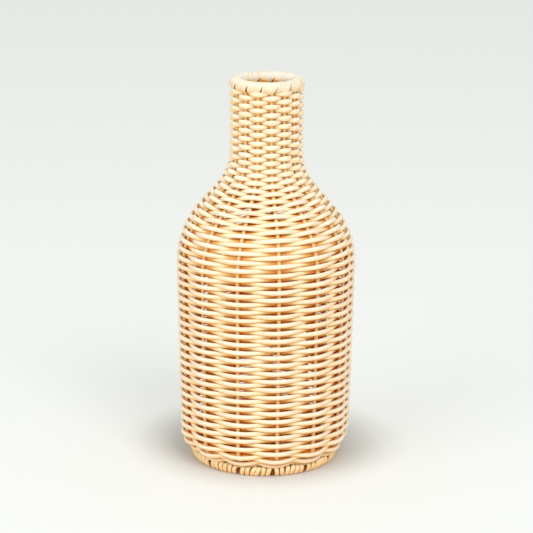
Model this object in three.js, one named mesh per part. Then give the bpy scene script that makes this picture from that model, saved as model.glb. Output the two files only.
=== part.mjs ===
// A bottle-shaped vase woven from round rattan core.
// Thirteen stakes stand round the wall. Six rods bent into a U give twelve of them, crossing in two layers
// at the centre of the base, and a half rod gives the thirteenth. Because the number is odd, one spiral of
// weavers passes outside and inside every stake in turn, from the base to the neck. The rim is a hoop bound
// with a broad band, and the vase stands on a thin hoop that is bound all round with three strands.
// Millimetres, +Z up, origin on the table under the centre of the base.
import * as THREE from "three";

// Driving dimensions: the outline of the woven wall
const OVERALL_HEIGHT = 300;
const NECK_DIAMETER = 56.4;
const SHOULDER_DIAMETER = 140;
const LOWER_BODY_DIAMETER = 132.4;
const NECK_CORNER_HEIGHT = 228.4;
const SHOULDER_CORNER_HEIGHT = 179.3;
const NECK_ROUND = 42;
const SHOULDER_ROUND = 69;
const BOTTOM_ROUND = 19.8;

// Driving dimensions: stakes and weavers
const STAKE_PAIRS = 6;
const STAKE_DIAMETER = 2.8;
const WEAVER_DIAMETER = 2.95;
const ROW_GAP = 0.19;
const FIT_GAP = 0.3;
const WEAVER_STRANDS = 28;
const BASE_WEAVE_START_RADIUS = 20;
const FRONT_STAKE_ANGLE = THREE.MathUtils.degToRad(-80.8);

// Driving dimensions: the bound rim and the bound foot
const RIM_DIAMETER = 55.4;
const RIM_THICKNESS = 9.2;
const RIM_BAND_WIDTH = 5.4;
const RIM_BAND_THICKNESS = 1.8;
const FOOT_HOOP_DIAMETER = 106.4;
const FOOT_THICKNESS = 6.6;
const FOOT_STRAND_WIDTH = 3;
const FOOT_STRAND_THICKNESS = 1.8;
const FOOT_STRANDS = 3;
const FOOT_LOOPS_PER_STRAND = 24;
const FOOT_FLAT_DEPTH = 0.3;

// How finely the round forms are faceted
const STAKE_SIDES = 6;
const STAKE_SAG = 0.14;
const RIM_STEPS_PER_LOOP = 8;
const FOOT_STEPS_PER_LOOP = 6;
const RIM_HOOP_STEPS = 26;
const FOOT_HOOP_STEPS = 39;
const HOOP_SIDES = 6;
const OFFSET_ROUNDS = 12;
const GAP_SAMPLES = 6;

// Sizes that follow from the driving dimensions
const STAKE_COUNT = 2 * STAKE_PAIRS + 1;
const STAKE_SPACING = (2 * Math.PI) / STAKE_COUNT;
const STAKE_RADIUS = STAKE_DIAMETER / 2;
const WEAVER_SIDE = (WEAVER_DIAMETER * Math.sqrt(Math.PI)) / 2;
const ROW_PITCH = WEAVER_DIAMETER + ROW_GAP;
const WEAVE_OFFSET = STAKE_RADIUS + FIT_GAP + WEAVER_SIDE / 2;
const WALL_HALF = WEAVE_OFFSET + WEAVER_SIDE / 2;
const NECK_STAKE_RADIUS = NECK_DIAMETER / 2 - WALL_HALF;

const RIM_RADIUS = RIM_THICKNESS / 2;
const RIM_RING_RADIUS = RIM_DIAMETER / 2 - RIM_RADIUS;
const RIM_HEIGHT = OVERALL_HEIGHT - RIM_RADIUS;
const RIM_CORNER = Math.cos(Math.PI / RIM_STEPS_PER_LOOP);
const RIM_PATH_RADIUS = RIM_RADIUS - RIM_BAND_THICKNESS / 2 / RIM_CORNER;
const RIM_HOOP_RADIUS = RIM_PATH_RADIUS * RIM_CORNER - RIM_BAND_THICKNESS / 2 - FIT_GAP;
const STAKE_TOP = RIM_HEIGHT - RIM_HOOP_RADIUS - FIT_GAP;
const WEAVE_TOP = RIM_HEIGHT - RIM_RADIUS - FIT_GAP - WEAVER_SIDE / 2;

const FOOT_RADIUS = FOOT_THICKNESS / 2;
const FOOT_CORNER = Math.cos(Math.PI / FOOT_STEPS_PER_LOOP);
const FOOT_PATH_RADIUS = FOOT_RADIUS - FOOT_STRAND_THICKNESS / 2 / FOOT_CORNER;
const FOOT_HOOP_RADIUS = FOOT_PATH_RADIUS * FOOT_CORNER - FOOT_STRAND_THICKNESS / 2 - FIT_GAP;
const FOOT_RING_RADIUS = FOOT_HOOP_DIAMETER / 2;
const FOOT_HEIGHT = FOOT_RADIUS * FOOT_CORNER - FOOT_FLAT_DEPTH;

// Finishes
const finish = (color, roughness) => new THREE.MeshStandardMaterial({ color, roughness, metalness: 0 });
const WEAVER_FINISH = finish("#f2dcae", 0.55);
const STAKE_FINISH = finish("#e0bf86", 0.6);
const HOOP_FINISH = finish("#d8b276", 0.65);
const BINDING_FINISH = finish("#f5e4bf", 0.5);

// The outline of the stakes, from the centre of the base to the rim
function stakeOutline() {
  const lower = LOWER_BODY_DIAMETER / 2 - WALL_HALF;
  const bottomRound = BOTTOM_ROUND - WALL_HALF;
  const ringSide = FOOT_RING_RADIUS - (lower - bottomRound);
  const ringReach = BOTTOM_ROUND + FIT_GAP + FOOT_RADIUS;
  const baseHeight = FOOT_HEIGHT + Math.sqrt(ringReach ** 2 - ringSide ** 2) - bottomRound;
  const corners = [
    { at: new THREE.Vector2(0, baseHeight) },
    { at: new THREE.Vector2(lower, baseHeight), round: bottomRound },
    {
      at: new THREE.Vector2(SHOULDER_DIAMETER / 2 - WALL_HALF, SHOULDER_CORNER_HEIGHT),
      round: SHOULDER_ROUND - WALL_HALF,
    },
    { at: new THREE.Vector2(NECK_STAKE_RADIUS, NECK_CORNER_HEIGHT), round: NECK_ROUND + WALL_HALF },
    { at: new THREE.Vector2(NECK_STAKE_RADIUS, STAKE_TOP) },
  ];
  return roundedPath(corners);
}

// A path of straight lines whose inner corners are rounded by tangent arcs
function roundedPath(corners) {
  const path = new THREE.Path();
  path.moveTo(corners[0].at.x, corners[0].at.y);
  for (let i = 1; i < corners.length - 1; i++) {
    const { at, round } = corners[i];
    const before = corners[i - 1].at.clone().sub(at).normalize();
    const after = corners[i + 1].at.clone().sub(at).normalize();
    const half = Math.acos(THREE.MathUtils.clamp(before.dot(after), -1, 1)) / 2;
    const start = at.clone().addScaledVector(before, round / Math.tan(half));
    const end = at.clone().addScaledVector(after, round / Math.tan(half));
    const centre = at.clone().addScaledVector(before.clone().add(after).normalize(), round / Math.sin(half));
    path.lineTo(start.x, start.y);
    const from = start.clone().sub(centre).angle();
    const to = end.clone().sub(centre).angle();
    path.absarc(centre.x, centre.y, round, from, to, before.cross(after) > 0);
  }
  const last = corners[corners.length - 1].at;
  path.lineTo(last.x, last.y);
  return path;
}

const outline = stakeOutline();
const outlineLength = outline.getLength();

// Where a length along the outline lies, and which way is out of the vase there
function wallAt(length) {
  const share = THREE.MathUtils.clamp(length / outlineLength, 0, 1);
  const at = outline.getPoint(share);
  const along = outline.getTangent(share);
  return { at, out: new THREE.Vector2(along.y, -along.x) };
}

const turned = (radius, height, angle) =>
  new THREE.Vector3(radius * Math.cos(angle), radius * Math.sin(angle), height);

// The directions of a strand at each point of its middle line: along it, across it and out, with out as
// near as it can be to the given normal. Bend and stretch say how far a section is drawn out where the
// path turns.
function strandFrames(points, normals) {
  const last = points.length - 1;
  return points.map((point, i) => {
    const arriving = point.clone().sub(points[Math.max(i - 1, 0)]).normalize();
    const leaving = points[Math.min(i + 1, last)].clone().sub(point).normalize();
    const before = i === 0 ? leaving : arriving;
    const after = i === last ? arriving : leaving;
    const along = before.clone().add(after).normalize();
    const bend = after.clone().sub(before).normalize();
    const stretch = 1 / along.dot(before) - 1;
    const across = normals[i].clone().cross(along).normalize();
    const out = along.clone().cross(across);
    return { across, out, bend, stretch };
  });
}

// Sweeps a closed section along a middle line. Each section corner is [across, out]. The sections are
// mitred where the line turns, and the ends are capped.
function sweep(points, normals, section) {
  const sides = section.length;
  const positions = [];
  strandFrames(points, normals).forEach(({ across, out, bend, stretch }, i) => {
    for (const [x, y] of section) {
      const offset = across.clone().multiplyScalar(x).addScaledVector(out, y);
      offset.addScaledVector(bend, stretch * offset.dot(bend));
      positions.push(...offset.add(points[i]).toArray());
    }
  });
  const faces = [];
  const end = (points.length - 1) * sides;
  for (let ring = 0; ring < end; ring += sides) {
    for (let j = 0; j < sides; j++) {
      const a = ring + j;
      const b = ring + ((j + 1) % sides);
      faces.push(a, b, a + sides, b, b + sides, a + sides);
    }
  }
  for (let j = 1; j < sides - 1; j++) {
    faces.push(0, j + 1, j);
    faces.push(end, end + j, end + j + 1);
  }
  const geometry = new THREE.BufferGeometry();
  geometry.setAttribute("position", new THREE.Float32BufferAttribute(positions, 3));
  geometry.setIndex(faces);
  geometry.computeVertexNormals();
  return geometry;
}

// A regular section whose area is that of a round rod
function roundSection(diameter, sides) {
  const radius = (diameter / 2) * Math.sqrt((2 * Math.PI) / sides / Math.sin((2 * Math.PI) / sides));
  return Array.from({ length: sides }, (_, i) => {
    const angle = (2 * Math.PI * (i + 0.5)) / sides;
    return [radius * Math.cos(angle), radius * Math.sin(angle)];
  });
}

// A flattened strand: flat inside, and bevelled along both edges outside
function bandSection(width, thickness) {
  return [
    [width / 2, -thickness / 2],
    [width / 2, 0],
    [width / 2 - thickness / 2, thickness / 2],
    [-width / 2 + thickness / 2, thickness / 2],
    [-width / 2, 0],
    [-width / 2, -thickness / 2],
  ];
}

function rectangleSection(width, thickness) {
  return [
    [width / 2, -thickness / 2],
    [width / 2, thickness / 2],
    [-width / 2, thickness / 2],
    [-width / 2, -thickness / 2],
  ];
}

// The least gap of a strand to its own other turns, measured on points along its middle line and both its
// edges. Points count as lying on different turns when they are at least the given number of steps apart.
function leastGap(points, normals, width, stepsApart) {
  const frames = strandFrames(points, normals);
  const rail = (x) => points.map((point, i) => point.clone().addScaledVector(frames[i].across, x));
  const rails = [-width / 2, 0, width / 2].map(rail);
  const samples = [];
  for (let i = 0; i < points.length - 1; i++) {
    for (let k = 0; k < GAP_SAMPLES; k++) {
      const share = k / GAP_SAMPLES;
      samples.push({ step: i + share, at: rails.map((line) => line[i].clone().lerp(line[i + 1], share)) });
    }
  }
  let least = Infinity;
  for (const one of samples) {
    for (const other of samples) {
      if (other.step - one.step < stepsApart) continue;
      for (const a of one.at) {
        for (const b of other.at) least = Math.min(least, a.distanceTo(b));
      }
    }
  }
  return least;
}

const vase = new THREE.Group();
vase.name = "rattan_vase";

function addPiece(name, geometry, material) {
  const mesh = new THREE.Mesh(geometry, material);
  mesh.name = name;
  vase.add(mesh);
  return mesh;
}

// Stakes
const stakeAngle = (index) => FRONT_STAKE_ANGLE + index * STAKE_SPACING;

// One leg of a stake, from the rim down the wall and in along the base to where the rods begin to cross
function stakeLeg(index, innerRadius) {
  const angle = stakeAngle(index);
  const points = [];
  for (const curve of outline.curves) {
    const steps = curve.isEllipseCurve ? arcSteps(curve) : 1;
    for (let i = 0; i <= steps; i++) points.push(curve.getPoint(i / steps));
  }
  const apart = (i) => i === 0 || points[i].distanceTo(points[i - 1]) > FIT_GAP;
  const kept = points.filter((point, i) => point.x > innerRadius && apart(i));
  kept.unshift(new THREE.Vector2(innerRadius, points[0].y));
  return kept.reverse().map((p) => turned(p.x, p.y, angle));
}

// How many straight steps keep a bent rod within the allowed sag of its arc
function arcSteps(arc) {
  const step = 2 * Math.acos(1 - STAKE_SAG / arc.xRadius);
  return Math.ceil(arc.getLength() / arc.xRadius / step);
}

// The crossing at the centre of the base: one layer of rods lies under the other
const LAYER_STEP = STAKE_DIAMETER + 2 * FIT_GAP;
const CROSSING_HALF = 2.5 * LAYER_STEP + FIT_GAP;
const CROSSING_EDGE = BASE_WEAVE_START_RADIUS - WEAVER_DIAMETER;
const BASE_HEIGHT = outline.getPoint(0).y;
const STAKE_SECTION = roundSection(STAKE_DIAMETER, STAKE_SIDES);

const sideways = (angle) => new THREE.Vector3(-Math.sin(angle), Math.cos(angle), 0);

// A rod from one leg through the crossing to the other leg. Turn is the way that its layer runs.
function stakeRod(name, firstLeg, secondLeg, turn, lane, layer) {
  const lift = (layer * LAYER_STEP) / 2;
  const upright = new THREE.Vector3(0, 0, 1);
  const cross = (run) =>
    new THREE.Vector3(run, lane * LAYER_STEP, BASE_HEIGHT + lift).applyAxisAngle(upright, turn);
  const down = stakeLeg(firstLeg, CROSSING_EDGE);
  const points = [...down, cross(CROSSING_HALF)];
  const normals = points.map(() => sideways(stakeAngle(firstLeg)).negate());
  points.push(cross(-CROSSING_HALF));
  if (secondLeg === null) {
    normals.push(normals[0]);
  } else {
    const up = stakeLeg(secondLeg, CROSSING_EDGE).reverse();
    points.push(...up);
    normals.push(sideways(stakeAngle(secondLeg)));
    up.forEach(() => normals.push(sideways(stakeAngle(secondLeg))));
  }
  addPiece(name, sweep(points, normals, STAKE_SECTION), STAKE_FINISH);
}

// The lower layer joins legs across one way, the upper layer across the other, fanned out in equal steps
function addStakes() {
  const lowerCount = Math.floor(STAKE_PAIRS / 2);
  const upperCount = STAKE_PAIRS - lowerCount;
  const half = (STAKE_COUNT - 1) / 2;
  const lowerTurn = stakeAngle(0.25);
  for (let i = 0; i < lowerCount; i++) {
    const lane = i - (lowerCount - 1) / 2;
    const first = Math.round(lane);
    const second = half + 1 - first;
    stakeRod(`stake_rod_lower_${i + 1}`, first, second, lowerTurn, lane, -1);
  }
  const upperTurn = stakeAngle(0) + Math.PI / 2;
  for (let i = 0; i < upperCount; i++) {
    const first = Math.ceil(lowerCount / 2) + i;
    stakeRod(`stake_rod_upper_${i + 1}`, first, -first, upperTurn, i - (upperCount - 1) / 2, 1);
  }
  const spare = Math.ceil(lowerCount / 2) + upperCount;
  stakeRod("stake_rod_half", spare, null, upperTurn, upperCount / 2 + 0.5, 1);
}

// Weavers
// How far a strand has to stand off a stake, outside and inside, so that its straight runs clear the rod
function standOff(wall) {
  const clear = WEAVE_OFFSET;
  let outside = clear;
  let inside = clear;
  const slope = (own, other) => {
    const radius = wall.at.x + other * wall.out.x;
    const fall = (radius * Math.cos(STAKE_SPACING) - wall.at.x) * wall.out.x + other * wall.out.y ** 2;
    return Math.atan2(own - fall, radius * Math.sin(STAKE_SPACING));
  };
  for (let i = 0; i < OFFSET_ROUNDS; i++) {
    outside = clear / Math.cos(slope(outside, -inside));
    inside = clear / Math.cos(slope(-inside, outside));
  }
  return { outside, inside };
}

const WEAVE_START = BASE_WEAVE_START_RADIUS;
const WEAVE_END = outlineLength - (STAKE_TOP - WEAVE_TOP);
const CROSSING_COUNT = Math.floor(((WEAVE_END - WEAVE_START) / ROW_PITCH) * STAKE_COUNT);

// The middle line of the weaving spiral at a crossing, and the way out of the wall there
function crossing(index) {
  const wall = wallAt(WEAVE_START + (ROW_PITCH * index) / STAKE_COUNT);
  const { outside, inside } = standOff(wall);
  const offset = index % 2 === 0 ? outside : -inside;
  const angle = stakeAngle(index);
  return {
    point: turned(wall.at.x + offset * wall.out.x, wall.at.y + offset * wall.out.y, angle),
    normal: turned(wall.out.x, wall.out.y, angle),
  };
}

// Where the strands meet: the inside crossings nearest to equal shares of the spiral
function strandJoins(count) {
  const share = (count - 1) / WEAVER_STRANDS;
  const joins = [];
  for (let k = 0; k < WEAVER_STRANDS; k++) joins.push(2 * Math.round((share * k) / 2));
  joins.push(count - 1);
  return joins;
}

// Each strand ends inside a stake, and the next one starts there
function addWeavers() {
  const section = rectangleSection(WEAVER_SIDE, WEAVER_SIDE);
  const spiral = Array.from({ length: CROSSING_COUNT }, (_, i) => crossing(i + 1));
  const joins = strandJoins(spiral.length);
  let least = Infinity;
  for (let k = 0; k < WEAVER_STRANDS; k++) {
    const strand = spiral.slice(joins[k], joins[k + 1] + 1);
    const points = strand.map(({ point }) => point.clone());
    const normals = strand.map(({ normal }) => normal);
    const last = points.length - 1;
    trimEnd(points, 0, 1);
    trimEnd(points, last, last - 1);
    const name = `weaver_${String(k + 1).padStart(2, "0")}`;
    addPiece(name, sweep(points, normals, section), WEAVER_FINISH);
    least = Math.min(least, leastGap(points, normals, WEAVER_SIDE, STAKE_COUNT / 2));
  }
  console.log(`${WEAVER_STRANDS} weavers, least gap of one to itself ${least.toFixed(2)} mm`);
}

// Draws the end of a strand back, so that two strands that share a stake stay apart
function trimEnd(points, end, next) {
  const toward = points[next].clone().sub(points[end]).normalize();
  points[end].addScaledVector(toward, WEAVER_SIDE / 2);
}

// Bound hoops
// The middle line of a strand wound round a hoop: loops of it over a stretch of the hoop
function winding({ hoopRadius, height, pathRadius, from, stretch, loops, steps, phase }) {
  const count = loops * steps;
  const points = [];
  const normals = [];
  for (let i = 0; i <= count; i++) {
    const angle = from + (stretch * i) / count;
    const round = phase + (2 * Math.PI * i) / steps;
    const radius = hoopRadius + pathRadius * Math.cos(round);
    points.push(turned(radius, height + pathRadius * Math.sin(round), angle));
    normals.push(turned(Math.cos(round), Math.sin(round), angle));
  }
  return { points, normals };
}

function addRim() {
  const hoop = new THREE.TorusGeometry(RIM_RING_RADIUS, RIM_HOOP_RADIUS, HOOP_SIDES, RIM_HOOP_STEPS);
  addPiece("rim_hoop", hoop, HOOP_FINISH).position.z = RIM_HEIGHT;
  const endShare = 1 / (STAKE_COUNT * RIM_STEPS_PER_LOOP);
  const { points, normals } = winding({
    hoopRadius: RIM_RING_RADIUS,
    height: RIM_HEIGHT,
    pathRadius: RIM_PATH_RADIUS,
    from: stakeAngle(0.5) - STAKE_SPACING / 4,
    stretch: 2 * Math.PI * (1 - endShare),
    loops: STAKE_COUNT - 1 / RIM_STEPS_PER_LOOP,
    steps: RIM_STEPS_PER_LOOP,
    phase: Math.PI,
  });
  const band = sweep(points, normals, bandSection(RIM_BAND_WIDTH, RIM_BAND_THICKNESS));
  addPiece("rim_binding", band, BINDING_FINISH);
  const least = leastGap(points, normals, RIM_BAND_WIDTH, RIM_STEPS_PER_LOOP / 2);
  console.log(`rim binding, least gap to itself ${least.toFixed(2)} mm`);
}

function addFoot() {
  const hoop = new THREE.TorusGeometry(FOOT_RING_RADIUS, FOOT_HOOP_RADIUS, HOOP_SIDES, FOOT_HOOP_STEPS);
  addPiece("foot_hoop", hoop, HOOP_FINISH).position.z = FOOT_HEIGHT;
  const share = (2 * Math.PI) / FOOT_STRANDS;
  const section = rectangleSection(FOOT_STRAND_WIDTH, FOOT_STRAND_THICKNESS);
  for (let i = 0; i < FOOT_STRANDS; i++) {
    const endShare = 1 / (FOOT_LOOPS_PER_STRAND * FOOT_STEPS_PER_LOOP);
    const { points, normals } = winding({
      hoopRadius: FOOT_RING_RADIUS,
      height: FOOT_HEIGHT,
      pathRadius: FOOT_PATH_RADIUS,
      from: stakeAngle(0) + i * share,
      stretch: share * (1 - endShare),
      loops: FOOT_LOOPS_PER_STRAND - 1 / FOOT_STEPS_PER_LOOP,
      steps: FOOT_STEPS_PER_LOOP,
      phase: Math.PI,
    });
    const strand = pressFlat(sweep(points, normals, section));
    addPiece(`foot_binding_${i + 1}`, strand, BINDING_FINISH);
    const least = leastGap(points, normals, FOOT_STRAND_WIDTH, FOOT_STEPS_PER_LOOP / 2);
    console.log(`foot binding ${i + 1}, least gap to itself ${least.toFixed(2)} mm`);
  }
}

// Presses the undersides of the loops flat where they would reach below the table
function pressFlat(geometry) {
  const { position } = geometry.attributes;
  for (let i = 0; i < position.count; i++) position.setZ(i, Math.max(position.getZ(i), 0));
  geometry.computeVertexNormals();
  return geometry;
}

addStakes();
addWeavers();
addRim();
addFoot();

export default vase;
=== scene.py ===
"""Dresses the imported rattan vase: round woven strands, stakes, a bound rim and a lashed foot.

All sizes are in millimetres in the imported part's frame, and become metres when a mesh is made. The vase
stands on z = 0 with its axis along +Z and its front towards -Y, in a plain pale studio.
"""

import logging
import math
from dataclasses import dataclass, field
from enum import Enum

import bpy
import numpy as np
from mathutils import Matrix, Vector


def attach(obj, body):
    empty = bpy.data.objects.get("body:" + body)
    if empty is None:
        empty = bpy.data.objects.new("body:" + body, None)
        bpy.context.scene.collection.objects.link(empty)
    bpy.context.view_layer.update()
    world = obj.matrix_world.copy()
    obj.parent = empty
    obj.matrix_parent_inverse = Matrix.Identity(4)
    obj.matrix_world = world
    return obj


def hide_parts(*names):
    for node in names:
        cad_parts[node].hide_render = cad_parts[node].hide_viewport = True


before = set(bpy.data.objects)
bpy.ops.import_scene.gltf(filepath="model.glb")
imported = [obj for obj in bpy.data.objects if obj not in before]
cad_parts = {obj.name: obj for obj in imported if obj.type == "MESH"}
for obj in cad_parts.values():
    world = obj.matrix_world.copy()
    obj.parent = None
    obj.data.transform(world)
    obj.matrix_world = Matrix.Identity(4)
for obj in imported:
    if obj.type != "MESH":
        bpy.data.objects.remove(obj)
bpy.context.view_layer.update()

LOG = logging.getLogger("rattan_vase")
MM = 0.001
BODY = "root"

# How far a point stands out of the middle of the wall, and how much painted shade it gets there, where the
# weave would shade it: none on the outside, full among the strands, and a little less again on the inside.
# A piece that lies clear of the weave counts as standing further out.
STANDS = (-4.5, -2.6, -1.2, 0.7, 3.4)
PAINTED_SHADES = (0.9, 1.0, 0.8, 0.14, 0.0)
CLEAR_STAND = 4.0

# The setting with which a Mix node mixes colours.
MIX_COLOURS = {"data_type": "RGBA"}


class Slot(Enum):
    """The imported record's material slots."""

    WEAVER = "weaver"
    STAKE = "stake"
    HOOP = "hoop"
    BINDING = "binding"


def polar(radius: np.ndarray, height: np.ndarray, angle: np.ndarray) -> np.ndarray:
    """Points on the vase from their distance to the axis, height and angle.

    Args:
        radius: Distances from the axis.
        height: Heights.
        angle: Angles about the axis, in radians.

    Returns:
        One row of x, y, z per point.
    """
    return np.stack([radius * np.cos(angle), radius * np.sin(angle), height + 0 * angle], axis=-1)


def ease(values: np.ndarray, at: np.ndarray) -> np.ndarray:
    """Reads a list of values at fractional indices, level at each index as a bent rod is at its support.

    Args:
        values: One value per whole index.
        at: Fractional indices.

    Returns:
        The values there.
    """
    low = np.clip(np.floor(at).astype(int), 0, len(values) - 2)
    share = (1 - np.cos(np.pi * (at - low))) / 2
    return values[low] + (values[low + 1] - values[low]) * share


def unit(vectors: np.ndarray) -> np.ndarray:
    """Scales each row to length 1."""
    return vectors / np.linalg.norm(vectors, axis=-1, keepdims=True)


def column(values: np.ndarray | float, rows: int) -> np.ndarray:
    """Stands one value for all rows, or one value for each row, in a column."""
    return np.broadcast_to(values, rows)[:, None]


def round_section(sides: int) -> np.ndarray:
    """Corners of a round section of half width and half thickness 1."""
    angles = 2 * np.pi * np.arange(sides) / sides
    return np.stack([np.cos(angles), np.sin(angles)], axis=-1)


def add_object(name: str, data: bpy.types.ID) -> bpy.types.Object:
    """Adds a mesh, a lamp or a camera to the scene.

    Args:
        name: The object's name.
        data: The mesh, lamp or camera.

    Returns:
        The new object.
    """
    thing = bpy.data.objects.new(name, data)
    bpy.context.scene.collection.objects.link(thing)
    return thing


@dataclass
class StakePlan:
    """How the uprights stand round the wall.

    Attributes:
        pairs: Rods bent into a U, each of which makes two uprights.
        packed_diameter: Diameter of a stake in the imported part.
        diameter: Diameter of a stake as it is shown.
        neck_crowding: Angle by which the uprights crowd towards the front in the neck, at most.
        crowd_from: Height at which they begin to crowd.
        crowd_to: Height from which they crowd fully.
    """

    pairs: int = 6
    packed_diameter: float = 2.8
    diameter: float = 2.9
    neck_crowding: float = 0.13
    crowd_from: float = 165.0
    crowd_to: float = 240.0
    front_angle: float = math.radians(-80.8)

    @property
    def count(self) -> int:
        """Uprights in all: two for each bent rod, and one from the half rod."""
        return 2 * self.pairs + 1

    @property
    def spacing(self) -> float:
        """Angle between neighbouring uprights."""
        return 2 * math.pi / self.count

    def angle(self, index: np.ndarray | float, height: np.ndarray | float = 0.0) -> np.ndarray | float:
        """Angle of an upright about the vase's axis.

        Args:
            index: Which upright, counted from the front one.
            height: Height on the vase, which matters in the neck, where the uprights crowd.

        Returns:
            The angle in radians.
        """
        even = index * self.spacing
        rise = np.clip((height - self.crowd_from) / (self.crowd_to - self.crowd_from), 0, 1)
        return self.front_angle + even - self.neck_crowding * rise * rise * (3 - 2 * rise) * np.sin(even)


@dataclass
class WallOutline:
    """The line that the stakes follow, from the centre of the base to the rim.

    Diameters and rounds are of the outside. A corner's height is where the straight runs on both sides of it
    would meet if it weren't rounded.

    Attributes:
        neck_from: Height at which the shoulder passes into the neck.
        neck_to: Height from which the neck counts in full.
        weaver_diameter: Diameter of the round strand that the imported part's square ones stand for.
        fit_gap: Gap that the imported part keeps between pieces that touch.
        foot_height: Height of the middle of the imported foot's hoop.
        stake_top: Height of the stakes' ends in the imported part, just under the rim's hoop.
        base_sink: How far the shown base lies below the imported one.
        sample_step: Length between the points that the outline is read from.
        same_point: Length under which two points are one.
    """

    stakes: StakePlan
    overall_height: float = 300.0
    neck_diameter: float = 56.4
    shoulder_diameter: float = 140.0
    lower_body_diameter: float = 132.4
    neck_corner_height: float = 228.4
    shoulder_corner_height: float = 179.3
    neck_round: float = 42.0
    shoulder_round: float = 69.0
    bottom_round: float = 19.8
    neck_from: float = 205.0
    neck_to: float = 240.0
    weaver_diameter: float = 2.95
    fit_gap: float = 0.3
    rim_diameter: float = 55.4
    rim_thickness: float = 9.2
    foot_ring_radius: float = 53.2
    foot_thickness: float = 6.6
    foot_height: float = 2.558
    stake_top: float = 292.95
    base_sink: float = 0.5
    sample_step: float = 0.1
    same_point: float = 1e-6
    points: np.ndarray = field(init=False)
    lengths: np.ndarray = field(init=False)
    outs: np.ndarray = field(init=False)

    def __post_init__(self) -> None:
        """Samples the rounded line closely, so that any length along it can be read off."""
        self.points = self._rounded_points()
        steps = np.linalg.norm(np.diff(self.points, axis=0), axis=1)
        self.lengths = np.concatenate([[0.0], np.cumsum(steps)])
        along = unit(np.gradient(self.points, self.lengths, axis=0))
        self.outs = np.stack([along[:, 1], -along[:, 0]], axis=-1)

    @property
    def weaver_side(self) -> float:
        """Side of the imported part's square strand, which has the area of the round one."""
        return self.weaver_diameter * math.sqrt(math.pi) / 2

    @property
    def weave_offset(self) -> float:
        """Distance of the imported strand's middle from a stake's middle."""
        return self.stakes.packed_diameter / 2 + self.fit_gap + self.weaver_side / 2

    @property
    def wall_half(self) -> float:
        """Distance of the woven wall's outer face from the stakes' middle."""
        return self.weave_offset + self.weaver_side / 2

    @property
    def neck_stake_radius(self) -> float:
        """Distance of the stakes from the axis in the neck."""
        return self.neck_diameter / 2 - self.wall_half

    @property
    def rim_height(self) -> float:
        """Height of the middle of the rim's hoop."""
        return self.overall_height - self.rim_thickness / 2

    @property
    def rim_ring_radius(self) -> float:
        """Distance of the middle of the rim's hoop from the axis."""
        return (self.rim_diameter - self.rim_thickness) / 2

    @property
    def base_height(self) -> float:
        """Works out how high the base lies, from where the bend of the wall rests on the foot's ring.

        Returns:
            Height of the stakes' middle in the base.
        """
        lower = self.lower_body_diameter / 2 - self.wall_half
        bend = self.bottom_round - self.wall_half
        side = self.foot_ring_radius - (lower - bend)
        reach = self.bottom_round + self.fit_gap + self.foot_thickness / 2
        return self.foot_height + math.sqrt(reach**2 - side**2) - bend - self.base_sink

    def _rounded_points(self) -> np.ndarray:
        """Follows the straight runs and tangent arcs of the outline.

        Returns:
            Close points, one row of distance from the axis and height each.
        """
        lower = self.lower_body_diameter / 2 - self.wall_half
        shoulder = self.shoulder_diameter / 2 - self.wall_half
        corners = [
            (np.array([0.0, self.base_height]), 0.0),
            (np.array([lower, self.base_height]), self.bottom_round - self.wall_half),
            (np.array([shoulder, self.shoulder_corner_height]), self.shoulder_round - self.wall_half),
            (np.array([self.neck_stake_radius, self.neck_corner_height]), self.neck_round + self.wall_half),
            (np.array([self.neck_stake_radius, self.stake_top]), 0.0),
        ]
        runs = []
        start = corners[0][0]
        for (before, _), (corner, bend), (after, _) in zip(corners, corners[1:], corners[2:]):
            back, ahead = unit(before - corner), unit(after - corner)
            half = math.acos(float(np.dot(back, ahead))) / 2
            first = corner + back * bend / math.tan(half)
            last = corner + ahead * bend / math.tan(half)
            centre = corner + unit(back + ahead) * bend / math.sin(half)
            runs.append(self._straight(start, first))
            runs.append(self._arc(centre, first, last))
            start = last
        runs.append(self._straight(start, corners[-1][0]))
        points = np.concatenate(runs)
        steps = np.linalg.norm(np.diff(points, axis=0), axis=1)
        return points[np.concatenate([[True], steps > self.same_point])]

    def _straight(self, start: np.ndarray, end: np.ndarray) -> np.ndarray:
        """Returns points along a straight run."""
        count = max(2, int(np.linalg.norm(end - start) / self.sample_step))
        return start + (end - start) * np.linspace(0, 1, count)[:, None]

    def _arc(self, centre: np.ndarray, start: np.ndarray, end: np.ndarray) -> np.ndarray:
        """Follows the shorter arc between two points.

        Args:
            centre: Centre of the arc.
            start: Point that it starts at.
            end: Point that it ends at.

        Returns:
            Close points along the arc.
        """
        from_angle = math.atan2(*(start - centre)[::-1])
        turn = math.atan2(*(end - centre)[::-1]) - from_angle
        turn = (turn + math.pi) % (2 * math.pi) - math.pi
        reach = float(np.linalg.norm(start - centre))
        count = max(2, int(reach * abs(turn) / self.sample_step))
        angles = from_angle + turn * np.linspace(0, 1, count)
        return centre + reach * np.stack([np.cos(angles), np.sin(angles)], axis=-1)

    def at(self, length: np.ndarray) -> tuple[np.ndarray, np.ndarray, np.ndarray, np.ndarray]:
        """Reads the outline at lengths from the centre of the base.

        Args:
            length: Lengths along the outline.

        Returns:
            Distance from the axis, height, and the outward and upward parts of the way out of the wall.
        """
        columns = (self.points[:, 0], self.points[:, 1], self.outs[:, 0], self.outs[:, 1])
        radius, height, out_across, out_up = (np.interp(length, self.lengths, values) for values in columns)
        return radius, height, out_across, out_up

    def neck_share(self, height: np.ndarray) -> np.ndarray:
        """How far each height lies into the neck, from 0 on the shoulder to 1."""
        return np.clip((height - self.neck_from) / (self.neck_to - self.neck_from), 0, 1)


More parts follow.
